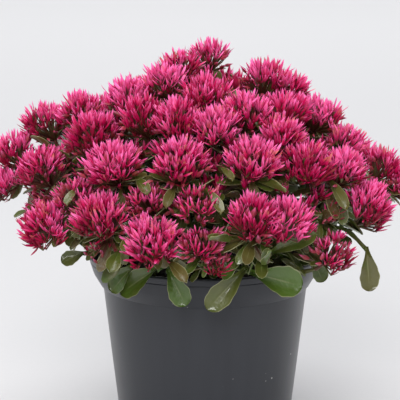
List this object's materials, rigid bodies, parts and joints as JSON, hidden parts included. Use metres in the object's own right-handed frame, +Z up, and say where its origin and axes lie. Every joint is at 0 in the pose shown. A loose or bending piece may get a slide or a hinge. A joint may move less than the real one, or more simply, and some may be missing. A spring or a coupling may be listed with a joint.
{
  "type": "potted two-row stonecrop",
  "caption": "Mat-forming stonecrop in flower: leafy stems under a mound of starry pink flower heads, planted in a round tapered nursery pot.",
  "frame": {"origin": "middle of the flat pad under the pot, on the surface that it stands on", "axes": "+Z up along the pot's axis, +X to the right and +Y away, as seen from the front"},
  "size_m": [0.2462, 0.2348, 0.231],
  "materials": {
    "pot": "anthracite grey moulded plastic, satin",
    "soil": "dark moist compost with crumbs of perlite",
    "foliage": "fleshy green leaves with a soft gloss and reddish edges",
    "flowers": "bright magenta pink petals, deeper at their foot"
  },
  "bodies": {
    "root": {"pot": "pot", "soil": "soil", "leafy_stems_1": "foliage", "leafy_stems_2": "foliage", "leafy_stems_3": "foliage", "leafy_stems_4": "foliage", "leafy_stems_5": "foliage", "leafy_stems_6": "foliage", "leafy_stems_7": "foliage", "leafy_stems_8": "foliage", "leafy_stems_9": "foliage", "leafy_stems_10": "foliage", "leafy_stems_11": "foliage", "leafy_stems_12": "foliage", "flower_head_1": "flowers", "flower_head_2": "flowers", "flower_head_3": "flowers", "flower_head_4": "flowers", "flower_head_5": "flowers", "flower_head_6": "flowers", "flower_head_7": "flowers", "flower_head_8": "flowers", "flower_head_9": "flowers", "flower_head_10": "flowers", "flower_head_11": "flowers", "flower_head_12": "flowers", "flower_head_13": "flowers", "flower_head_14": "flowers", "flower_head_15": "flowers", "flower_head_16": "flowers", "flower_head_17": "flowers", "flower_head_18": "flowers", "flower_head_19": "flowers", "flower_head_20": "flowers", "flower_head_21": "flowers", "flower_head_22": "flowers", "flower_head_23": "flowers", "flower_head_24": "flowers", "flower_head_25": "flowers", "flower_head_26": "flowers", "flower_head_27": "flowers", "flower_head_28": "flowers", "flower_head_29": "flowers", "flower_head_30": "flowers", "flower_head_31": "flowers", "flower_head_32": "flowers", "flower_head_33": "flowers", "flower_head_34": "flowers", "flower_head_35": "flowers", "flower_head_36": "flowers", "flower_head_37": "flowers", "flower_head_38": "flowers", "flower_head_39": "flowers", "flower_head_40": "flowers", "flower_head_41": "flowers", "flower_head_42": "flowers", "flower_head_43": "flowers", "flower_head_44": "flowers", "flower_head_45": "flowers", "flower_head_46": "flowers"}
  },
  "joints": []
}
